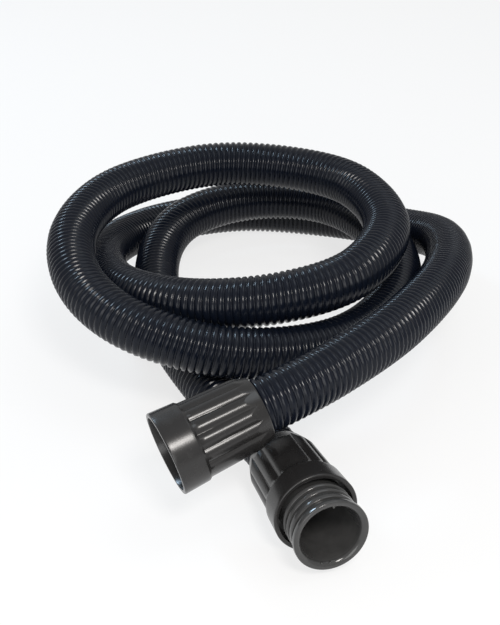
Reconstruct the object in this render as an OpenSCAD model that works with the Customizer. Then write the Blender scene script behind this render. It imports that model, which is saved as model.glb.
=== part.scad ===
// Corrugated suction hose for a pool or spa vacuum, lying in three loose turns.
// Each end screws into a nut that a ribbed cuff swivels on. One cuff is an open socket.
// The other holds a screwed-in connector with a flared lip. +Z is up and the floor is Z = 0.

/* [Hose] */
// Outside diameter of the hose over its ribs
hose_od = 46; // [43:0.5:46.5]
// Smallest bore of the hose
hose_bore = 38; // [34:0.5:39]

/* [Cuff] */
// Length of a cuff from its rear face to its mouth
cuff_len = 81; // [79:0.5:84]
// Wall of the ribbed grip over the chamber, where it meets the collar
grip_wall = 5.4; // [5.2:0.1:6.2]
// Wall of the ribbed grip over the chamber, behind at the shoulder
grip_rear_wall = 3.8; // [3.5:0.1:4.4]
// Length of the shoulder, the cone between the rear face and the grip
shoulder_len = 13; // [10:0.5:15]
// Width of the rear face round the swivel nut
rear_land = 1.5; // [1.2:0.1:2]
// Wall of the collar round the socket, at its step
collar_wall = 2.5; // [2:0.1:3.2]
// Wall of the collar at the mouth
mouth_wall = 3.6; // [3:0.1:4.2]
// Length of the plain collar
collar_len = 24.5; // [23.5:0.5:26]
// Depth of the mouth's socket
socket_depth = 21; // [18:0.5:21.5]
// Bore of the mouth, which takes a 60.3 mm pipe
mouth_bore = 60.8; // [60.4:0.1:61.5]
// Thickness of the rear wall that holds the swivel nut
rear_wall = 15.7; // [14:0.1:17]
// Chamfer between the grip and the collar
collar_chamfer = 2; // [1:0.25:3]
// Chamfer of the mouth's rim
rim_chamfer = 0.8; // [0.4:0.1:1.2]

/* [Grip ribs] */
// Ribs in each of the two groups
ribs_per_group = 5; // [3:1:6]
// Angle from one rib to the next
rib_pitch = 24; // [20:1:25]
// Depth of the groove between two ribs
groove_depth = 2.2; // [1:0.1:2.3]
// Radius of the round cutter that makes a groove
groove_r = 4; // [3:0.25:5]

/* [Swivel] */
// Wall of the nut's journal, which runs in the cuff's rear wall
journal_wall = 1.45; // [1.25:0.05:1.6]
// Height of the nut's flange, which stops the cuff from pulling off
flange_step = 0.95; // [0.7:0.05:1.1]
// Clearance between the nut's flange and the cuff's chamber
flange_gap = 0.35; // [0.3:0.05:0.5]
// Thickness of the nut's flange
flange_t = 4; // [3:0.25:5]
// Depth of the nut's rear end inside the cuff
nut_inset = 1.5; // [0.5:0.25:3]
// How far the hose screws into the nut, from the cuff's rear face
hose_stop = 38; // [36:0.5:40]
// Thickness of the nut's inner stop for the hose
stop_t = 4; // [2:0.25:5]
// How far the nut's inner stop stands back from the hose's bore
stop_back = 0.75; // [0.5:0.25:1.5]
// Section diameter of the seal ring
seal_t = 1.8; // [1.6:0.1:2]
// Width of the seal ring's groove in the nut
seal_groove_w = 2.4; // [2.2:0.1:3]
// Thickness of the split retaining ring
retainer_t = 2; // [1.5:0.1:2.5]
// Depth of the groove in the cuff's chamber that seats the retaining ring
retainer_seat = 0.8; // [0.4:0.1:1]
// Angle of the gap in the retaining ring
retainer_gap = 20; // [10:1:40]

/* [Connector] */
// Wall of the connector's tail
tail_wall = 1.95; // [1.5:0.05:2.4]
// Clearance between the nut's stop and the tail that screws into the chamber
tail_gap = 3; // [2:0.5:4]
// Thickness of the gasket under the flange
gasket_t = 2; // [1:0.25:3]
// Thickness of the connector's flange
neck_flange_t = 4; // [3:0.25:6]
// Wall of the neck between its ridges
neck_wall = 2.7; // [2.2:0.1:3.2]
// Number of round ridges on the neck
ridges = 3; // [1:1:3]
// Height of a ridge
ridge_h = 1.7; // [1:0.1:2.1]
// Width of a ridge
ridge_w = 5; // [4:0.25:6]
// Distance of the first ridge in front of the cuff's mouth
first_ridge_x = 3; // [2.5:0.25:3.5]
// Distance from one ridge to the next
ridge_pitch = 7.4; // [7:0.1:7.6]
// Height of the flared lip over the neck
lip_h = 3.4; // [3:0.1:3.8]
// Length of the flared lip
lip_len = 8; // [7:0.25:8.5]
// Length of the flare behind the lip's rim
flare_len = 3.5; // [2:0.25:4.5]
// Distance of the lip's face in front of the cuff's mouth
lip_x = 31.2; // [30.8:0.2:33]
// Rounding of the lip's outer edge
lip_round = 1.2; // [0.6:0.1:1.8]
// Width of the lip's flat face, between its outer edge and the bell inside
lip_land = 0.3; // [0.1:0.1:1]

/* [Fits] */
// Radial clearance of a running fit
running = 0.05; // [0.02:0.01:0.1]
// Axial play of the swivel
play = 0.3; // [0.2:0.05:0.5]
// Radial clearance of parts that are pushed or screwed together
slip = 0.05; // [0.02:0.01:0.1]

/* [Hidden] */

// Sides of the hose's swept tube, and rings along each stretch between two route points
hose_sides = 12;
rings_per_stretch = 2;
// Segments of a turned part, and points on a quarter round of its profile
turn_fn = 96;
quarter_points = 6;
hose_r = hose_od / 2;
journal_r = hose_r + slip + journal_wall;
flange_r = journal_r + flange_step;
chamber_r = flange_r + flange_gap;
retainer_r = chamber_r + retainer_seat;
rear_r = journal_r + rear_land;
grip_r = chamber_r + grip_wall;
grip_rear_r = chamber_r + grip_rear_wall;
mouth_r = mouth_bore / 2;
collar_r = mouth_r + collar_wall;
collar_mouth_r = mouth_r + mouth_wall;
tail_r = chamber_r - slip;
neck_bore_r = tail_r - tail_wall;
neck_r = neck_bore_r + neck_wall;
lip_r = neck_r + lip_h;
bell_r = lip_r - lip_round - lip_land - neck_bore_r;
flange_x = rear_wall + play;
retainer_x = flange_x + flange_t + play;
collar_x = cuff_len - collar_len;
socket_x = cuff_len - socket_depth;
stop_x = hose_stop + stop_t;
seal_x = (retainer_x + retainer_t + hose_stop) / 2;
seal_centre_r = chamber_r - running - seal_t / 2;
seal_floor_r = seal_centre_r - seal_t / 2;
neck_flange_x = socket_x + gasket_t;
rib_group = ribs_per_group * rib_pitch;
// Slope of the grip between the shoulder and the collar
grip_taper = atan((grip_r - grip_rear_r) / (collar_x - shoulder_len));

// Moves the lie so that its box is centred on the origin
centring = [5, 3, 0];
// Where the hose leaves each cuff, and the way each mouth looks. Cuff B lies on its collar's
// step and the rear of its grip, and cuff A lies over cuff B.
azimuth_a = -156;
tilt_a = -15;
azimuth_b = -71;
tilt_b = atan((collar_r - grip_rear_r) / (collar_x + collar_chamfer - shoulder_len));
lift_a = 23;
exit_a = centring + [-13, -220, 2 * collar_mouth_r + lift_a];
exit_b = centring + [4, -202, grip_rear_r * cos(tilt_b) - shoulder_len * sin(tilt_b)];
// Turn of each cuff's ribs about its own axis
roll_a = -34;
roll_b = 104;

// The hose's route from cuff A to cuff B: X, Y and the height of its underside above the floor
route = [
  [50, -174, 76], [112, -100, 76], [164, 8, 66], [178, 118, 46], [146, 206, 18],
  [68, 270, 2], [-34, 284, 2], [-126, 236, 8], [-170, 130, 28], [-146, 4, 56],
  [-78, -64, 74], [6, -76, 86], [76, -38, 92], [112, 58, 92], [84, 154, 94],
  [10, 196, 96], [-72, 192, 98], [-156, 134, 96], [-188, 44, 92], [-172, -42, 82],
  [-118, -100, 70], [-30, -116, 54], [62, -78, 44], [120, 18, 38], [124, 136, 36],
  [72, 228, 36], [-16, 248, 34], [-88, 212, 28], [-116, 138, 18], [-104, 18, 10],
  [-54, -104, 8]
];

function direction(azimuth, tilt) =
  [cos(tilt) * cos(azimuth), cos(tilt) * sin(azimuth), sin(tilt)];
function unit(v) = v / norm(v);

way_a = direction(azimuth_a, tilt_a);
way_b = direction(azimuth_b, tilt_b);
via = concat([exit_a], [for (p = route) p + centring + [0, 0, hose_r]], [exit_b]);
last = len(via) - 1;

// Slope of the hose's centre line at each point of the route
function slope(i) =
  i == 0 ? -way_a * norm(via[1] - via[0])
  : i == last ? way_b * norm(via[last] - via[last - 1])
  : (via[i + 1] - via[i - 1]) / 2;

// A point on the smooth curve between route points i and i + 1, and the curve's direction there
function between(i, t) =
  (2 * t * t * t - 3 * t * t + 1) * via[i] + (t * t * t - 2 * t * t + t) * slope(i)
  + (3 * t * t - 2 * t * t * t) * via[i + 1] + (t * t * t - t * t) * slope(i + 1);
function heading(i, t) =
  (6 * t * t - 6 * t) * (via[i] - via[i + 1])
  + (3 * t * t - 4 * t + 1) * slope(i) + (3 * t * t - 2 * t) * slope(i + 1);

steps = [for (i = [0 : last - 1], k = [0 : rings_per_stretch - 1]) [i, k / rings_per_stretch]];
centres = concat([exit_a + way_a * hose_stop], [for (s = steps) between(s[0], s[1])],
                 [exit_b, exit_b + way_b * hose_stop]);
headings = concat([-way_a], [for (s = steps) unit(heading(s[0], s[1]))], [way_b, way_b]);
rings = len(centres);

// One ring of points square to the centre line
function ring(c, h, r) =
  let (side = unit(cross(h, [0, 0, 1])), up = cross(side, h))
  [for (k = [0 : hose_sides - 1]) let (a = 360 * k / hose_sides) c + r * (side * cos(a) + up * sin(a))];

// Points on a round stretch of a profile, about centre [r, x]
function arc(centre, radius, from, to) =
  [for (k = [0 : quarter_points]) let (a = from + (to - from) * k / quarter_points)
    centre + radius * [cos(a), sin(a)]];

// A solid of revolution about the X axis, from points [radius, x], with a gap of some degrees
module turned(profile, gap = 0) {
  rotate([0, 90, 0]) rotate_extrude(angle = 360 - gap, $fn = turn_fn) polygon(profile);
}

// A plain ring about the X axis
module band(outer, inner, x, length) {
  turned([[inner, x], [outer, x], [outer, x + length], [inner, x + length]]);
}

// Puts a part of an end in its place: its X axis runs from the cuff's rear face out of the mouth
module end_a(roll = 0) {
  translate(exit_a) rotate([0, -tilt_a, azimuth_a]) rotate([roll, 0, 0]) children();
}
module end_b(roll = 0) {
  translate(exit_b) rotate([0, -tilt_b, azimuth_b]) rotate([roll, 0, 0]) children();
}

// The hose: an outer and an inner wall, joined by a flat ring at each end
module hose() {
  walls = concat([for (i = [0 : rings - 1]) each ring(centres[i], headings[i], hose_r)],
                 [for (i = [0 : rings - 1]) each ring(centres[i], headings[i], hose_bore / 2)]);
  wall_points = rings * hose_sides;
  outer = [for (i = [0 : rings - 2], k = [0 : hose_sides - 1])
    let (a = i * hose_sides + k, b = i * hose_sides + (k + 1) % hose_sides)
    each [[a, b, b + hose_sides], [a, b + hose_sides, a + hose_sides]]];
  inner = [for (f = outer) [f[2], f[1], f[0]] + [1, 1, 1] * wall_points];
  ends = [for (k = [0 : hose_sides - 1])
    let (a = k, b = (k + 1) % hose_sides, far = wall_points - hose_sides)
    each [[b, a, a + wall_points], [b, a + wall_points, b + wall_points],
          [a + far, b + far, b + far + wall_points],
          [a + far, b + far + wall_points, a + far + wall_points]]];
  color([0.05, 0.05, 0.06]) polyhedron(points = walls, faces = concat(outer, inner, ends), convexity = 10);
}

// The nut screwed and glued on a hose end: journal, flange, seal groove and inner stop
module hose_nut() {
  color([0.12, 0.12, 0.13]) turned([
    [hose_r + slip, nut_inset], [journal_r, nut_inset],
    [journal_r, flange_x], [flange_r, flange_x],
    [flange_r, flange_x + flange_t], [journal_r, flange_x + flange_t],
    [journal_r, seal_x - seal_groove_w / 2], [seal_floor_r, seal_x - seal_groove_w / 2],
    [seal_floor_r, seal_x + seal_groove_w / 2], [journal_r, seal_x + seal_groove_w / 2],
    [journal_r, stop_x], [hose_bore / 2 + stop_back, stop_x],
    [hose_bore / 2 + stop_back, hose_stop], [hose_r + slip, hose_stop]]);
}

// The seal between the nut and the cuff's chamber
module seal_ring() {
  color([0.25, 0.07, 0.06]) rotate([0, 90, 0]) rotate_extrude($fn = turn_fn)
    translate([seal_centre_r, seal_x]) circle(d = seal_t, $fn = 32);
}

// The split ring that keeps the nut's flange against the cuff's rear wall
module retaining_ring() {
  color([0.7, 0.72, 0.74]) turned([
    [journal_r + play, retainer_x], [retainer_r, retainer_x],
    [retainer_r, retainer_x + retainer_t], [journal_r + play, retainer_x + retainer_t]],
    retainer_gap);
}

// The swivel cuff: rear wall, shoulder, ribbed grip, collar and stepped bore
module cuff() {
  color([0.16, 0.16, 0.17]) difference() {
    turned([
      [journal_r + running, 0], [rear_r, 0], [grip_rear_r, shoulder_len],
      [grip_r, collar_x], [collar_r, collar_x + collar_chamfer],
      [collar_mouth_r, cuff_len - rim_chamfer], [collar_mouth_r - rim_chamfer, cuff_len],
      [mouth_r, cuff_len], [mouth_r, socket_x],
      [chamber_r, socket_x], [chamber_r, retainer_x + retainer_t],
      [retainer_r, retainer_x + retainer_t], [retainer_r, retainer_x],
      [chamber_r, retainer_x], [chamber_r, rear_wall], [journal_r + running, rear_wall]]);
    for (side = [0, 180], k = [0 : ribs_per_group])
      rotate([side - rib_group / 2 + k * rib_pitch, 0, 0]) groove();
  }
}

// The cutter of one groove: it follows the grip's slope from behind the cuff to the collar
module groove() {
  translate([collar_x, 0, grip_r - groove_depth + groove_r])
    rotate([0, -90 - grip_taper, 0]) cylinder(r = groove_r, h = cuff_len, $fn = 32);
}

// A rounded ridge of the connector, as profile points
function ridge(x) =
  [for (k = [0 : 2 * quarter_points]) let (a = -90 + 90 * k / quarter_points)
    [neck_r + ridge_h * cos(a), cuff_len + x + ridge_w / 2 * sin(a)]];

// The connector screwed into cuff B: tail, flange, ridged neck and flared lip
module screw_neck() {
  lip_face = cuff_len + lip_x;
  flare_x = lip_face - lip_len;
  color([0.22, 0.22, 0.21]) end_b() turned(concat(
    [[neck_bore_r, stop_x + tail_gap], [tail_r, stop_x + tail_gap],
     [tail_r, neck_flange_x], [mouth_r - slip, neck_flange_x],
     [mouth_r - slip, neck_flange_x + neck_flange_t], [neck_r, neck_flange_x + neck_flange_t]],
    [for (k = [0 : ridges - 1]) each ridge(first_ridge_x + k * ridge_pitch)],
    [[neck_r, flare_x], [lip_r, flare_x + flare_len]],
    arc([lip_r - lip_round, lip_face - lip_round], lip_round, 0, 90),
    arc([neck_bore_r + bell_r, lip_face - bell_r], bell_r, 90, 180)));
}

// The flat gasket between the connector's flange and the floor of the mouth
module neck_gasket() {
  color([0.05, 0.05, 0.05]) end_b() band(mouth_r - slip, chamber_r + slip, socket_x, gasket_t);
}

module hose_nut_a() { end_a() hose_nut(); }
module hose_nut_b() { end_b() hose_nut(); }
module seal_ring_a() { end_a() seal_ring(); }
module seal_ring_b() { end_b() seal_ring(); }
module retaining_ring_a() { end_a() retaining_ring(); }
module retaining_ring_b() { end_b() retaining_ring(); }
module cuff_a() { end_a(roll_a) cuff(); }
module cuff_b() { end_b(roll_b) cuff(); }

hose();
hose_nut_a();
hose_nut_b();
seal_ring_a();
seal_ring_b();
retaining_ring_a();
retaining_ring_b();
cuff_a();
cuff_b();
screw_neck();
neck_gasket();
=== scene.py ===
import math

import bmesh
import bpy
import numpy as np
from mathutils import Euler, Matrix, Vector


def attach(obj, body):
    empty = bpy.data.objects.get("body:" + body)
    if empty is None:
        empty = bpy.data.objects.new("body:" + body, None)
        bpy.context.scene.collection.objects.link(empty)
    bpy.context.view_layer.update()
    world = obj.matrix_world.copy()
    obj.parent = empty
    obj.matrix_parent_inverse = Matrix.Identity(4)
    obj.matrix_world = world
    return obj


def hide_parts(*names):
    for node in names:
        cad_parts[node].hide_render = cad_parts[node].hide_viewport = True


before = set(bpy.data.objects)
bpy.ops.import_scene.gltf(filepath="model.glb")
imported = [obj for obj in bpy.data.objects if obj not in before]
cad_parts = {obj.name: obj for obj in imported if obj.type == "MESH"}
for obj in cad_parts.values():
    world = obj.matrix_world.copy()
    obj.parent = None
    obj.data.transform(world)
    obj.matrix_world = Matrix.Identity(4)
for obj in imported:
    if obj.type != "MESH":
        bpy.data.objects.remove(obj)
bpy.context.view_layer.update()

scene = bpy.context.scene

view = {
    "place": (-0.0150, -0.9905, 0.6161),
    "pitch": 60.375,  # degrees from straight down
    "lens": 69.12,
    "sensor": 36.0,
    "clip": (0.05, 60.0),
}

camera = bpy.data.objects.new("camera", bpy.data.cameras.new("camera"))
scene.collection.objects.link(camera)
camera.location = view["place"]
camera.rotation_euler = Euler((math.radians(view["pitch"]), 0, 0))
camera.data.lens = view["lens"]
camera.data.sensor_width = view["sensor"]
camera.data.clip_start, camera.data.clip_end = view["clip"]
scene.camera = camera
print("camera placed")

# How the hose lies and where its two ends are, in metres, as in the CAD source
lie = {
    "hoseRadius": 0.023,
    "hoseBore": 0.019,
    "hoseStop": 0.038,  # how far each end screws into its nut, from the cuff's rear face
    "centring": (0.005, 0.003, 0.0),
    "exitA": (-0.013, -0.220),
    "exitB": (0.004, -0.202),
    "liftA": 0.023,  # height of cuff A's rear above cuff B's collar
    "azimuthA": -156,
    "tiltA": -15,
    "azimuthB": -71,
    "rollA": -34,
    "rollB": 104,
    "stretchPoints": 40,  # steps along the curve between two route points
    # x, y and the height of the underside above the floor
    "route": [
        (0.050, -0.174, 0.076), (0.112, -0.100, 0.076), (0.164, 0.008, 0.066),
        (0.178, 0.118, 0.046), (0.146, 0.206, 0.018), (0.068, 0.270, 0.002),
        (-0.034, 0.284, 0.002), (-0.126, 0.236, 0.008), (-0.170, 0.130, 0.028),
        (-0.146, 0.004, 0.056), (-0.078, -0.064, 0.074), (0.006, -0.076, 0.086),
        (0.076, -0.038, 0.092), (0.112, 0.058, 0.092), (0.084, 0.154, 0.094),
        (0.010, 0.196, 0.096), (-0.072, 0.192, 0.098), (-0.156, 0.134, 0.096),
        (-0.188, 0.044, 0.092), (-0.172, -0.042, 0.082), (-0.118, -0.100, 0.070),
        (-0.030, -0.116, 0.054), (0.062, -0.078, 0.044), (0.120, 0.018, 0.038),
        (0.124, 0.136, 0.036), (0.072, 0.228, 0.036), (-0.016, 0.248, 0.034),
        (-0.088, 0.212, 0.028), (-0.116, 0.138, 0.018), (-0.104, 0.018, 0.010),
        (-0.054, -0.104, 0.008),
    ],
}

cuff = {
    "length": 0.081,
    "rearRadius": 0.026,
    "shoulder": 0.013,  # length of the cone behind the grip
    "gripRearRadius": 0.0296,
    "gripRadius": 0.0312,
    "collarLength": 0.0245,
    "collarRadius": 0.0329,
    "collarMouthRadius": 0.034,
    "collarChamfer": 0.002,
    "rimChamfer": 0.0008,
    "edgeRound": 0.0003,
    "socketDepth": 0.021,
    "mouthRadius": 0.0304,
    "chamberRadius": 0.0258,
    "rearWall": 0.0157,
    "journalRadius": 0.02455,
    "ringSeatRadius": 0.0266,
    "ringSeat": 0.0203,
    "ringWidth": 0.002,
    "groupSize": 5,  # ribs in each of the two groups
    "ribPitch": 24.0,  # degrees
    "ribCurve": 0.00775,  # radius of a rib's rounded back
    "valleyDepth": 0.002,
    "steps": 480,  # faces round a cuff
    "shoulderStep": 0.0007,  # the cone is fine enough for the ribs to run out on it
    "gripRings": 12,
    "collarRings": 8,
    "collarLead": 0.0025,  # from the collar's rounded edge to its first ring
}


def direction(azimuth, tilt):
    a, t = math.radians(azimuth), math.radians(tilt)
    return Vector((math.cos(t) * math.cos(a), math.cos(t) * math.sin(a), math.sin(t)))


# X runs from a cuff's rear face out of its mouth
def endMatrix(exit, azimuth, tilt, roll=0.0):
    turn = Matrix.Rotation(math.radians(azimuth), 4, "Z")
    turn = turn @ Matrix.Rotation(math.radians(-tilt), 4, "Y")
    return Matrix.Translation(exit) @ turn @ Matrix.Rotation(math.radians(roll), 4, "X")


centring = Vector(lie["centring"])
wayA = direction(lie["azimuthA"], lie["tiltA"])
exitA = centring + Vector((*lie["exitA"], 2 * cuff["collarMouthRadius"] + lie["liftA"]))

# cuff B lies on its collar's step and on the rear of its grip
collarStep = cuff["length"] - cuff["collarLength"]
leanB = math.atan(
    (cuff["collarRadius"] - cuff["gripRearRadius"])
    / (collarStep + cuff["collarChamfer"] - cuff["shoulder"])
)
tiltB = math.degrees(leanB)
wayB = direction(lie["azimuthB"], tiltB)
restB = cuff["gripRearRadius"] * math.cos(leanB) - cuff["shoulder"] * math.sin(leanB)
exitB = centring + Vector((*lie["exitB"], restB))
endB = endMatrix(exitB, lie["azimuthB"], tiltB)
rolledA = endMatrix(exitA, lie["azimuthA"], lie["tiltA"], lie["rollA"])
rolledB = endMatrix(exitB, lie["azimuthB"], tiltB, lie["rollB"])


# Points, directions and distances along the hose's centre line, from cuff A's nut to cuff B's
def centreLine(perStretch):
    lift = np.array([0, 0, lie["hoseRadius"]])
    route = np.array(lie["route"]) + np.array(centring) + lift
    via = np.vstack([exitA, route, exitB])
    slope = np.zeros_like(via)
    slope[1:-1] = (via[2:] - via[:-2]) / 2
    slope[0] = -np.array(wayA) * np.linalg.norm(via[1] - via[0])
    slope[-1] = np.array(wayB) * np.linalg.norm(via[-1] - via[-2])
    t = (np.arange(perStretch) / perStretch)[:, None]
    points = [np.array([exitA + wayA * lie["hoseStop"] * k for k in (1, 0.75, 0.5, 0.25)])]
    for i in range(len(via) - 1):
        points.append(
            (2 * t**3 - 3 * t**2 + 1) * via[i] + (t**3 - 2 * t**2 + t) * slope[i]
            + (3 * t**2 - 2 * t**3) * via[i + 1] + (t**3 - t**2) * slope[i + 1]
        )
    points.append(np.array([exitB + wayB * lie["hoseStop"] * k for k in (0, 0.25, 0.5, 0.75, 1)]))
    points = np.vstack(points)
    along = np.concatenate([[0], np.cumsum(np.linalg.norm(np.diff(points, axis=0), axis=1))])
    heading = np.gradient(points, along, axis=0)
    heading /= np.linalg.norm(heading, axis=1)[:, None]
    return points, heading, along


def linked(name, mesh):
    thing = bpy.data.objects.new(name, mesh)
    scene.collection.objects.link(thing)
    return thing


def meshFrom(name, bm, sharp=40):
    mesh = bpy.data.meshes.new(name)
    bm.to_mesh(mesh)
    bm.free()
    mesh.shade_smooth()
    mesh.set_sharp_from_angle(angle=math.radians(sharp))
    return mesh


# Points on a round stretch of a profile, as (x, radius)
def arc(x, radius, size, start, stop, count=6):
    angles = [math.radians(start + (stop - start) * k / count) for k in range(count + 1)]
    return [(x + size * math.cos(a), radius + size * math.sin(a)) for a in angles]


# A closed profile of (x, radius) turned about the X axis
def turned(profile, steps):
    bm = bmesh.new()
    points = [bm.verts.new((x, 0, r)) for x, r in profile]
    edges = [bm.edges.new((a, b)) for a, b in zip(points, points[1:] + points[:1])]
    bmesh.ops.spin(
        bm, geom=points + edges, cent=(0, 0, 0), axis=(1, 0, 0), dvec=(0, 0, 0),
        angle=2 * math.pi, steps=steps, use_merge=True, use_duplicate=False,
    )
    bmesh.ops.recalc_face_normals(bm, faces=bm.faces)
    return bm


hose = {
    "ribPitch": 0.00587,
    "around": 21,  # faces round one turn
    # place along one pitch and depth below the crest
    "ribShape": [
        (0.0, 0.00190), (0.10, 0.00142), (0.19, 0.00070), (0.32, 0.00020),
        (0.50, 0.0), (0.68, 0.00020), (0.81, 0.00070), (0.90, 0.00142),
    ],
    "boreRings": 160,
    "boreAround": 12,  # faces round the bore
}


def buildHose():
    points, heading, along = centreLine(lie["stretchPoints"])
    length = along[-1]
    turns = math.ceil(length / hose["ribPitch"]) + 2
    pitch, radius = hose["ribPitch"], lie["hoseRadius"]

    # one turn of the spiral rib, repeated along a straight hose
    bm = bmesh.new()
    shape = hose["ribShape"] + [(1.0, hose["ribShape"][0][1])]
    line = [bm.verts.new((place * pitch, 0, radius - depth)) for place, depth in shape]
    edges = [bm.edges.new(pair) for pair in zip(line, line[1:])]
    bmesh.ops.spin(
        bm, geom=line + edges, cent=(0, 0, 0), axis=(1, 0, 0), dvec=(pitch / hose["around"], 0, 0),
        angle=2 * math.pi, steps=hose["around"], use_merge=False, use_duplicate=False,
    )
    bmesh.ops.remove_doubles(bm, verts=bm.verts, dist=1e-5)
    bmesh.ops.translate(bm, verts=bm.verts, vec=(-1.5 * pitch, 0, 0))
    straight = linked("hoseStraight", meshFrom("hoseStraight", bm))
    row = straight.modifiers.new("turns", "ARRAY")
    row.use_relative_offset = False
    row.use_constant_offset = True
    row.constant_offset_displace = (pitch, 0, 0)
    row.count = turns
    row.use_merge_vertices = True
    row.merge_threshold = 2e-5
    ready = straight.evaluated_get(bpy.context.evaluated_depsgraph_get())
    bm = bmesh.new()
    bm.from_mesh(ready.to_mesh())
    ready.to_mesh_clear()
    bpy.data.objects.remove(straight)

    # both ends cut square, then joined to the bore
    for x, side in ((0.0, -1), (length, 1)):
        bmesh.ops.bisect_plane(
            bm, geom=bm.verts[:] + bm.edges[:] + bm.faces[:], dist=1e-7,
            plane_co=(x, 0, 0), plane_no=(side, 0, 0), clear_outer=True, clear_inner=False,
        )
    outerRims = [e for e in bm.edges if e.is_boundary]
    lying = Matrix.Translation((length / 2, 0, 0)) @ Matrix.Rotation(math.pi / 2, 4, "Y")
    made = bmesh.ops.create_cone(
        bm, cap_ends=False, segments=hose["boreAround"],
        radius1=lie["hoseBore"], radius2=lie["hoseBore"], depth=length, matrix=lying,
    )
    bore = {e for v in made["verts"] for e in v.link_edges}
    longEdges = [e for e in bore if e.calc_length() > length / 2]
    boreRims = [e for e in bore if e.calc_length() <= length / 2]
    bmesh.ops.subdivide_edges(bm, edges=longEdges, cuts=hose["boreRings"])
    for x in (0.0, length):
        rims = [e for e in outerRims + boreRims if all(abs(v.co.x - x) < 1e-4 for v in e.verts)]
        bmesh.ops.bridge_loops(bm, edges=rims)
    bmesh.ops.recalc_face_normals(bm, faces=bm.faces)
    mesh = bpy.data.meshes.new("hose")
    bm.to_mesh(mesh)
    bm.free()

    # bent along the centre line
    count = len(mesh.vertices)
    flat = np.empty(count * 3)
    mesh.vertices.foreach_get("co", flat)
    flat = flat.reshape(-1, 3)
    place = flat[:, 0]
    centre = np.column_stack([np.interp(place, along, points[:, k]) for k in range(3)])
    ahead = np.column_stack([np.interp(place, along, heading[:, k]) for k in range(3)])
    ahead /= np.linalg.norm(ahead, axis=1)[:, None]
    side = np.cross(ahead, [0, 0, 1.0])
    side /= np.linalg.norm(side, axis=1)[:, None]
    up = np.cross(side, ahead)
    bent = centre + flat[:, 1:2] * side + flat[:, 2:3] * up
    mesh.vertices.foreach_set("co", bent.ravel())

    # what the finish follows: the crest of the rib, the way round and the way along
    size = np.hypot(flat[:, 1], flat[:, 2])
    deepest = max(depth for _, depth in hose["ribShape"])
    crest = np.clip(1 - (radius - size) / deepest, 0, 1)
    around = np.arctan2(flat[:, 1], flat[:, 2]) / (2 * math.pi) + 0.5
    followed = {"crest": crest, "groove": 1 - crest, "around": around, "along": place}
    for name, values in followed.items():
        layer = mesh.attributes.new(name, "FLOAT", "POINT")
        layer.data.foreach_set("value", values)
    mesh.update()
    mesh.shade_smooth()
    return linked("hoseSpiral", mesh), points, length


hosePiece, hosePath, hoseLength = buildHose()
print("hose made", round(hoseLength, 4), len(hosePiece.data.polygons))

# The outline of a cuff's half section, as (x, radius) from the rear face round to the rear face
def cuffProfile():
    c = cuff
    socket = c["length"] - c["socketDepth"]
    seatEnd = c["ringSeat"] + c["ringWidth"]
    small = c["edgeRound"]
    rim = c["length"] - c["rimChamfer"]
    collarStart = collarStep + c["collarChamfer"]
    slope = (c["gripRearRadius"] - c["rearRadius"]) / c["shoulder"]
    taper = (c["gripRadius"] - c["gripRearRadius"]) / (collarStep - c["shoulder"])
    widen = (c["collarMouthRadius"] - c["collarRadius"]) / (rim - collarStart)
    cone = np.arange(small, c["shoulder"], c["shoulderStep"])
    grip = np.linspace(c["shoulder"], collarStep, c["gripRings"])
    collar = np.linspace(collarStart + c["collarLead"], rim - small, c["collarRings"])
    profile = [(0.0, c["journalRadius"]), (0.0, c["rearRadius"] - small)]
    profile += [(x, c["rearRadius"] + slope * x) for x in cone]
    profile += [(x, c["gripRearRadius"] + taper * (x - c["shoulder"])) for x in grip]
    profile += arc(collarStart + 2 * small, c["collarRadius"] - 2 * small, 2 * small, 135, 92, 3)
    profile += [(x, c["collarRadius"] + widen * (x - collarStart)) for x in collar]
    profile += [(rim + small * 0.7, c["collarMouthRadius"] - small * 0.3)]
    profile += [(c["length"] - small * 0.3, c["collarMouthRadius"] - c["rimChamfer"] + small * 0.7)]
    profile += [(c["length"], c["collarMouthRadius"] - c["rimChamfer"] - small)]
    profile += arc(c["length"] - small, c["mouthRadius"] + small, small, 0, -90, 3)
    profile += [(socket, c["mouthRadius"]), (socket, c["chamberRadius"])]
    profile += [(seatEnd, c["chamberRadius"]), (seatEnd, c["ringSeatRadius"])]
    profile += [(c["ringSeat"], c["ringSeatRadius"]), (c["ringSeat"], c["chamberRadius"])]
    profile += [(c["rearWall"], c["chamberRadius"]), (c["rearWall"], c["journalRadius"])]
    return profile


# How far below the round grip the ribs' backs and valleys lie, at an angle in degrees
def ribDepth(angle, gripRadius):
    half = cuff["ribPitch"] / 2
    groupHalf = cuff["groupSize"] * half
    a = abs((angle + 90) % 180 - 90)  # from the middle of the nearer group
    if a > groupHalf + half:
        return 0.0
    off = (a + (half if cuff["groupSize"] % 2 else 0)) % cuff["ribPitch"] - half
    off = math.radians(off)
    curve = cuff["ribCurve"]
    centre = gripRadius - curve
    back = centre * math.cos(off) + math.sqrt(curve**2 - (centre * math.sin(off)) ** 2)
    return min(cuff["valleyDepth"], gripRadius - back)


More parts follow.
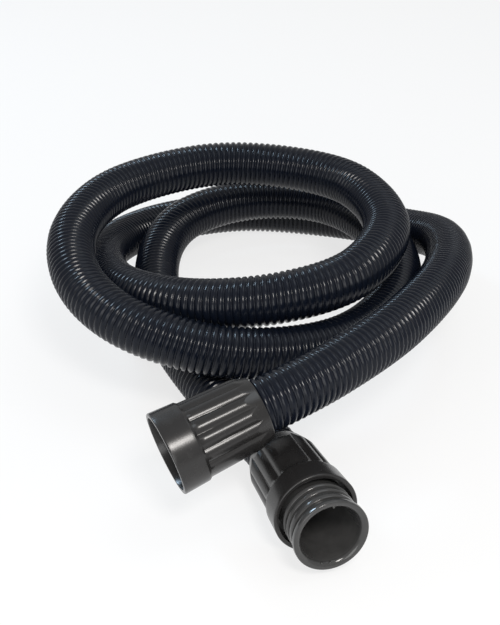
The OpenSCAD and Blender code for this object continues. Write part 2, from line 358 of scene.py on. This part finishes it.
# The shell is turned, then its grip is pressed in between the ribs. The cone behind cuts them off.
def buildCuff(name, place):
    c = cuff
    taper = (c["gripRadius"] - c["gripRearRadius"]) / (collarStep - c["shoulder"])
    bm = turned(cuffProfile(), c["steps"])
    valley = bm.verts.layers.float.new("valley")
    for v in bm.verts:
        x, radius = v.co.x, math.hypot(v.co.y, v.co.z)
        if x > collarStep + 1e-5 or radius < c["rearRadius"] or x < c["edgeRound"]:
            continue
        if x > c["rearWall"] and radius < c["ringSeatRadius"] + 1e-4:
            continue
        whole = c["gripRearRadius"] + taper * (x - c["shoulder"])
        depth = ribDepth(math.degrees(math.atan2(-v.co.y, v.co.z)), whole)
        v[valley] = depth / c["valleyDepth"]
        shrink = min(1, (whole - depth) / radius)
        v.co.y *= shrink
        v.co.z *= shrink
    bmesh.ops.transform(bm, matrix=place, verts=bm.verts)
    return linked(name, meshFrom(name, bm, 38))


cuffA = buildCuff("cuffShellA", rolledA)
cuffB = buildCuff("cuffShellB", rolledB)
print("cuffs made")

# The screwed-in connector
neck = {
    "bore": 0.0238,
    "tailRadius": 0.02575,
    "tailStart": 0.045,
    "flange": (0.062, 0.066),
    "flangeRadius": 0.03035,
    "radius": 0.0265,
    "ridges": [  # middle, radius, width, squareness
        (0.0838, 0.0281, 0.0050, 0.8),
        (0.0911, 0.0281, 0.0050, 0.8),
        (0.0990, 0.0282, 0.0060, 0.4),
    ],
    "lipRadius": 0.0299,
    "flare": (0.1042, 0.1077),
    "lipFace": 0.1122,
    "lipRound": 0.0012,
    "bellRound": 0.0046,
    # distance, angle and radius of the small moulding pips round the bell
    "pips": [(0.1106, -4, 0.0013), (0.1104, 162, 0.0012), (0.1104, 178, 0.0012)],
    "steps": 240,
}


# A ridge round the neck: round with a squareness of 1, and flatter on top below that
def ridge(middle, radius, width, squareness, count=14):
    base = neck["radius"]
    angles = [math.radians(-90 + 180 * k / count) for k in range(count + 1)]
    heights = [(radius - base) * max(0, math.cos(a)) ** squareness for a in angles]
    return [(middle + width / 2 * math.sin(a), base + high) for a, high in zip(angles, heights)]


def buildNeck():
    n = neck
    profile = [(n["tailStart"], n["bore"]), (n["tailStart"], n["tailRadius"])]
    profile += [(n["flange"][0], n["tailRadius"]), (n["flange"][0], n["flangeRadius"])]
    profile += [(n["flange"][1], n["flangeRadius"]), (n["flange"][1], n["radius"])]
    for one in n["ridges"]:
        profile += ridge(*one)
    start, end = n["flare"]
    profile += [(start - 0.0004, n["radius"]), (start + 0.0003, n["radius"] + 0.0003)]
    profile += [(end - 0.0003, n["lipRadius"] - 0.0003), (end + 0.0003, n["lipRadius"])]
    profile += [((end + n["lipFace"]) / 2, n["lipRadius"])]
    face, lip, bell = n["lipFace"], n["lipRound"], n["bellRound"]
    profile += arc(face - lip, n["lipRadius"] - lip, lip, 90, 0, 8)
    profile += arc(face - bell, n["bore"] + bell, bell, 0, -90, 12)
    bm = turned(profile, n["steps"])
    # The bore's inside, which the connector's finish paints paler as painted light
    inside = bm.verts.layers.float.new("inside")
    for v in bm.verts:
        v[inside] = float(math.hypot(v.co.y, v.co.z) < n["bore"] + 0.0001)
    for x, angle, size in n["pips"]:
        across = (x - face + bell) / bell
        radius = n["bore"] + bell * (1 - math.sqrt(1 - across**2))
        turn = Matrix.Rotation(math.radians(angle), 4, "X") @ Matrix.Translation((x, 0, radius))
        bmesh.ops.create_icosphere(bm, subdivisions=2, radius=size, matrix=turn)
    bmesh.ops.transform(bm, matrix=endB, verts=bm.verts)
    return linked("neckShell", meshFrom("neckShell", bm, 38))


neckPiece = buildNeck()
print("connector made")


# Starts a node group with named inputs and outputs
def newGroup(name, inputs, outputs):
    tree = bpy.data.node_groups.new(name, "ShaderNodeTree")
    for label, kind, value in inputs:
        socket = tree.interface.new_socket(label, in_out="INPUT", socket_type=kind)
        socket.default_value = value
    for label, kind in outputs:
        tree.interface.new_socket(label, in_out="OUTPUT", socket_type=kind)
    return tree, add(tree, "NodeGroupInput").outputs, add(tree, "NodeGroupOutput").inputs


# Adds a node. Inputs are given by name or by number (i0, i1), as values or another node's output.
def add(tree, kind, settings=None, **inputs):
    made = tree.nodes.new(kind)
    for key, value in (settings or {}).items():
        setattr(made, key, value)
    for key, value in inputs.items():
        numbered = key[0] == "i" and key[1:].isdigit()
        slot = made.inputs[int(key[1:]) if numbered else key.replace("_", " ")]
        if isinstance(value, bpy.types.NodeSocket):
            tree.links.new(value, slot)
        else:
            slot.default_value = value
    return made


def maths(tree, operation, a, b=0.0):
    return add(tree, "ShaderNodeMath", {"operation": operation}, i0=a, i1=b).outputs[0]


def spread(tree, value, low, high, toLow=0.0, toHigh=1.0):
    made = add(
        tree, "ShaderNodeMapRange", {"clamp": True},
        Value=value, From_Min=low, From_Max=high, To_Min=toLow, To_Max=toHigh,
    )
    return made.outputs[0]


def blend(tree, factor, a, b):
    return add(tree, "ShaderNodeMix", {"data_type": "RGBA"}, i0=factor, i6=a, i7=b).outputs[2]


# Height of a moulded plastic skin: fine grain over slow sink marks
def mouldedSkin():
    tree, given, result = newGroup(
        "mouldedSkin",
        [("Vector", "NodeSocketVector", (0, 0, 0)), ("Grain Scale", "NodeSocketFloat", 2600.0),
         ("Sink Scale", "NodeSocketFloat", 45.0), ("Sink Share", "NodeSocketFloat", 0.5)],
        [("Height", "NodeSocketFloat")],
    )
    where = given["Vector"]
    fine = add(tree, "ShaderNodeTexNoise", Vector=where, Scale=given["Grain Scale"], Detail=3.0)
    slow = add(tree, "ShaderNodeTexNoise", Vector=where, Scale=given["Sink Scale"], Detail=1.0)
    low = maths(tree, "MULTIPLY", slow.outputs["Fac"], given["Sink Share"])
    high = maths(tree, "MULTIPLY", fine.outputs["Fac"], 0.25)
    tree.links.new(maths(tree, "ADD", high, low), result["Height"])
    return tree


# Scuffs and hair scratches from handling, as a mask from 0 to 1
def handlingMarks():
    tree, given, result = newGroup(
        "handlingMarks",
        [("Vector", "NodeSocketVector", (0, 0, 0)), ("Patch Scale", "NodeSocketFloat", 38.0),
         ("Scratch Scale", "NodeSocketFloat", 260.0)],
        [("Scuffs", "NodeSocketFloat"), ("Scratches", "NodeSocketFloat")],
    )
    patches = add(
        tree, "ShaderNodeTexNoise",
        Vector=given["Vector"], Scale=given["Patch Scale"], Detail=5.0, Roughness=0.65,
    )
    tree.links.new(spread(tree, patches.outputs["Fac"], 0.52, 0.74), result["Scuffs"])
    drawn = add(
        tree, "ShaderNodeMapping",
        Vector=given["Vector"], Rotation=(0.5, 0.3, 0.9), Scale=(1.0, 0.06, 1.0),
    )
    lines = add(
        tree, "ShaderNodeTexNoise",
        Vector=drawn.outputs[0], Scale=given["Scratch Scale"], Detail=2.0, Distortion=0.4,
    )
    tree.links.new(spread(tree, lines.outputs["Fac"], 0.66, 0.70), result["Scratches"])
    return tree


# Dust in faint patches, and more where the given mask says: dust that gathers in sheltered places,
# and on the connector a painted light that makes its bore's inside paler, as a mask from 0 to 1
def settledDustAndPaintedLight():
    tree, given, result = newGroup(
        "settledDustAndPaintedLight",
        [("Vector", "NodeSocketVector", (0, 0, 0)), ("Shelter And Painted Light", "NodeSocketFloat", 0.0),
         ("Scale", "NodeSocketFloat", 60.0)],
        [("Dust And Painted Light", "NodeSocketFloat")],
    )
    patches = add(
        tree, "ShaderNodeTexNoise",
        Vector=given["Vector"], Scale=given["Scale"], Detail=4.0, Roughness=0.6,
    )
    thin = spread(tree, patches.outputs["Fac"], 0.55, 0.85, 0.0, 0.35)
    thick = spread(tree, patches.outputs["Fac"], 0.35, 0.65, 0.3, 1.0)
    shelteredAndPaintedLight = maths(tree, "MULTIPLY", thick, given["Shelter And Painted Light"])
    tree.links.new(maths(tree, "MAXIMUM", thin, shelteredAndPaintedLight), result["Dust And Painted Light"])
    return tree


groups = {make.__name__: make() for make in (mouldedSkin, handlingMarks, settledDustAndPaintedLight)}
print("node groups made")

# Roughness is where polished and where scuffed, bump is in metres, grain and sink are noise scales
finishSettings = {
    "hosePlastic": {
        "color": (0.0036, 0.0054, 0.0105), "worn": (0.010, 0.012, 0.016),
        "dustAndPaintedLight": (0.030, 0.030, 0.030), "dustAndPaintedLightShare": 0.12, "roughness": (0.20, 0.32),
        "bump": 0.000014, "grain": 900.0, "sink": 70.0, "specular": 0.22,
    },
    "cuffPlastic": {
        "color": (0.0152, 0.0146, 0.0146), "worn": (0.024, 0.0230, 0.0225),
        "dustAndPaintedLight": (0.040, 0.038, 0.035), "dustAndPaintedLightShare": 0.20, "roughness": (0.25, 0.36),
        "bump": 0.000008, "grain": 1800.0, "sink": 60.0, "specular": 0.45,
    },
    # The connector's dust tone and its large share also paint the bore's inside paler: painted
    # light standing in for the light that reaches into the bore.
    "neckPlastic": {
        "color": (0.037, 0.037, 0.037), "worn": (0.052, 0.051, 0.050),
        "dustAndPaintedLight": (0.075, 0.074, 0.073), "dustAndPaintedLightShare": 0.6, "roughness": (0.15, 0.30),
        "bump": 0.00001, "grain": 1500.0, "sink": 50.0, "specular": 0.45,
    },
    "nutPlastic": {
        "color": (0.008, 0.008, 0.009), "worn": (0.018, 0.018, 0.018),
        "dustAndPaintedLight": (0.04, 0.04, 0.036), "dustAndPaintedLightShare": 0.3, "roughness": (0.30, 0.45),
        "bump": 0.00004, "grain": 1500.0, "sink": 60.0, "specular": 0.4,
    },
    "sealRubber": {
        "color": (0.012, 0.011, 0.011), "worn": (0.028, 0.027, 0.026),
        "dustAndPaintedLight": (0.06, 0.056, 0.048), "dustAndPaintedLightShare": 0.5, "roughness": (0.50, 0.75),
        "bump": 0.00006, "grain": 2400.0, "sink": 120.0, "specular": 0.3,
    },
    "ringPlastic": {
        "color": (0.30, 0.30, 0.29), "worn": (0.38, 0.38, 0.36),
        "dustAndPaintedLight": (0.35, 0.33, 0.29), "dustAndPaintedLightShare": 0.3, "roughness": (0.35, 0.50),
        "bump": 0.00004, "grain": 1500.0, "sink": 80.0, "specular": 0.5,
    },
}


# How much the marks do in every finish
wear = {
    "colorShare": 0.6,  # of the worn color where fully scuffed
    "scratchWear": 0.3,
    "scratchDepth": 0.4,
}


# A worn plastic or rubber. A point attribute, to a power, says where dust is sheltered (on the
# connector, where painted light makes the bore's inside paler), and another where it rubs.
def finish(name, shelterAndPaintedLight=None, rubbed=None, extraHeight=None):
    given = finishSettings[name]
    material = bpy.data.materials.new(name)
    material.use_nodes = True
    tree = material.node_tree
    shader = tree.nodes["Principled BSDF"]
    place = add(tree, "ShaderNodeTexCoord").outputs["Object"]

    def attribute(label):
        return add(tree, "ShaderNodeAttribute", {"attribute_name": label}).outputs["Fac"]

    skin = add(tree, "ShaderNodeGroup", {"node_tree": groups["mouldedSkin"]}, Vector=place)
    skin.inputs["Grain Scale"].default_value = given["grain"]
    skin.inputs["Sink Scale"].default_value = given["sink"]
    marks = add(tree, "ShaderNodeGroup", {"node_tree": groups["handlingMarks"]}, Vector=place)
    dustAndPaintedLight = add(tree, "ShaderNodeGroup", {"node_tree": groups["settledDustAndPaintedLight"]}, Vector=place)
    scuffs = marks.outputs["Scuffs"]
    if shelterAndPaintedLight:
        shelteredAndPaintedLight = maths(tree, "POWER", attribute(shelterAndPaintedLight[0]), shelterAndPaintedLight[1])
        tree.links.new(shelteredAndPaintedLight, dustAndPaintedLight.inputs["Shelter And Painted Light"])
    if rubbed:
        scuffs = maths(tree, "MULTIPLY", scuffs, attribute(rubbed))
    scratches = marks.outputs["Scratches"]
    rubbedOff = maths(
        tree, "MAXIMUM", scuffs, maths(tree, "MULTIPLY", scratches, wear["scratchWear"]),
    )
    paler = maths(tree, "MULTIPLY", rubbedOff, wear["colorShare"])
    shade = blend(tree, paler, (*given["color"], 1), (*given["worn"], 1))
    dustAndPaintedLightMix = maths(tree, "MULTIPLY", dustAndPaintedLight.outputs["Dust And Painted Light"], given["dustAndPaintedLightShare"])
    shade = blend(tree, dustAndPaintedLightMix, shade, (*given["dustAndPaintedLight"], 1))
    tree.links.new(shade, shader.inputs["Base Color"])
    rough = maths(tree, "MAXIMUM", rubbedOff, dustAndPaintedLightMix)
    tree.links.new(spread(tree, rough, 0, 1, *given["roughness"]), shader.inputs["Roughness"])
    height = skin.outputs["Height"]
    if extraHeight:
        height = maths(tree, "ADD", height, extraHeight(tree, attribute))
    cuts = maths(tree, "MULTIPLY", scratches, wear["scratchDepth"])
    height = maths(tree, "SUBTRACT", height, cuts)
    bump = add(tree, "ShaderNodeBump", Height=height, Strength=1.0, Distance=given["bump"])
    tree.links.new(bump.outputs[0], shader.inputs["Normal"])
    shader.inputs["Specular IOR Level"].default_value = given["specular"]
    return material


winding = {
    "scale": 150.0,
    "acrossShare": 0.02,  # how far one way round counts beside one metre along
    "height": 0.8,
}


# Slow waviness of the wound rib: every turn of the spiral catches the light a little differently
def windingWaves(tree, attribute):
    around = maths(tree, "MULTIPLY", attribute("around"), winding["acrossShare"])
    where = add(tree, "ShaderNodeCombineXYZ", X=attribute("along"), Y=around)
    noise = add(
        tree, "ShaderNodeTexNoise", Vector=where.outputs[0], Scale=winding["scale"], Detail=1.0,
    )
    return maths(tree, "MULTIPLY", noise.outputs["Fac"], winding["height"])


hosePlastic = finish(
    "hosePlastic", shelterAndPaintedLight=("groove", 2.0), rubbed="crest", extraHeight=windingWaves,
)
cuffPlastic = finish("cuffPlastic", shelterAndPaintedLight=("valley", 6.0))
# The bore's inside gets the dust tone at a large share: painted light for the light inside the
# bore, over faint real dust patches.
neckPlastic = finish("neckPlastic", shelterAndPaintedLight=("inside", 1.0))
nutPlastic = finish("nutPlastic")
sealRubber = finish("sealRubber")
ringPlastic = finish("ringPlastic")

# The hidden pieces keep their CAD meshes
finishes = {
    "hose_nut_a": nutPlastic, "hose_nut_b": nutPlastic,
    "seal_ring_a": sealRubber, "seal_ring_b": sealRubber, "neck_gasket": sealRubber,
    "retaining_ring_a": ringPlastic, "retaining_ring_b": ringPlastic,
}
for name, material in finishes.items():
    bpy.data.objects[name].material_slots[0].material = material
hosePiece.data.materials.append(hosePlastic)
cuffA.data.materials.append(cuffPlastic)
cuffB.data.materials.append(cuffPlastic)
neckPiece.data.materials.append(neckPlastic)
print("finishes made")

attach(hosePiece, "hose")
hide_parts("hose")
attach(cuffA, "swivel_a")
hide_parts("cuff_a")
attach(cuffB, "swivel_b")
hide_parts("cuff_b")
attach(neckPiece, "swivel_b")
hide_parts("screw_neck")


# A rectangular lamp that looks at a target
def area(name, place, target, size, power, color):
    lamp = bpy.data.lights.new(name, "AREA")
    lamp.shape = "RECTANGLE"
    lamp.size, lamp.size_y = size
    lamp.energy = power
    lamp.color = color
    thing = bpy.data.objects.new(name, lamp)
    thing.location = place
    thing.rotation_euler = (Vector(target) - Vector(place)).to_track_quat("-Z", "Y").to_euler()
    scene.collection.objects.link(thing)


studio = {
    "floorSize": 20,
    "floorColor": (0.86, 0.86, 0.86),
    "floorRoughness": 0.9,
    "floorGlow": 0.75,  # share of plain white in what the camera and reflections see of the floor
    "worldStrength": 0.52,
    # place, target, size, power and color of each lamp
    "lamps": {
        "keyLight": (
            (0.26, -1.15, 1.24), (-0.04, -0.24, 0.08), (0.34, 0.34), 14, (1.0, 0.965, 0.93),
        ),
        "sideLight": ((-1.18, 0.94, 1.20), (0, 0, 0.05), (0.36, 0.36), 11, (0.60, 0.80, 1.0)),
        "ceilingLight": ((0.6, 0.1, 1.9), (0, 0, 0), (0.9, 0.9), 5, (0.86, 0.94, 1.0)),
        "frontFill": ((-0.1, -1.9, 0.55), (0, 0, 0.05), (1.2, 0.8), 10, (1.0, 1.0, 1.0)),
    },
}


# White to the camera, in reflections and through glass, and its own light on everything else
def seenWhite(tree, share):
    path = add(tree, "ShaderNodeLightPath").outputs
    seen = maths(tree, "MAXIMUM", path["Is Camera Ray"], path["Is Glossy Ray"])
    seen = maths(tree, "MAXIMUM", seen, path["Is Transmission Ray"])
    return maths(tree, "MULTIPLY", seen, share)


bm = bmesh.new()
bmesh.ops.create_grid(bm, x_segments=2, y_segments=2, size=studio["floorSize"])
floor = linked("floor", meshFrom("floor", bm))
floorPaint = bpy.data.materials.new("floorPaint")
floorPaint.use_nodes = True
tree = floorPaint.node_tree
paint = tree.nodes["Principled BSDF"]
paint.inputs["Base Color"].default_value = (*studio["floorColor"], 1)
paint.inputs["Roughness"].default_value = studio["floorRoughness"]
white = add(tree, "ShaderNodeEmission", Strength=1.0)
glow = seenWhite(tree, studio["floorGlow"])
both = add(tree, "ShaderNodeMixShader", i0=glow, i1=paint.outputs[0], i2=white.outputs[0])
tree.links.new(both.outputs[0], tree.nodes["Material Output"].inputs["Surface"])
floor.data.materials.append(floorPaint)

world = bpy.data.worlds.new("studio")
world.use_nodes = True
tree = world.node_tree
plain = tree.nodes["Background"]
plain.inputs["Color"].default_value = (1, 1, 1, 1)
plain.inputs["Strength"].default_value = studio["worldStrength"]
scene.world = world
for name, lamp in studio["lamps"].items():
    area(name, *lamp)

scene.view_settings.view_transform = "Standard"
print("scene ready")
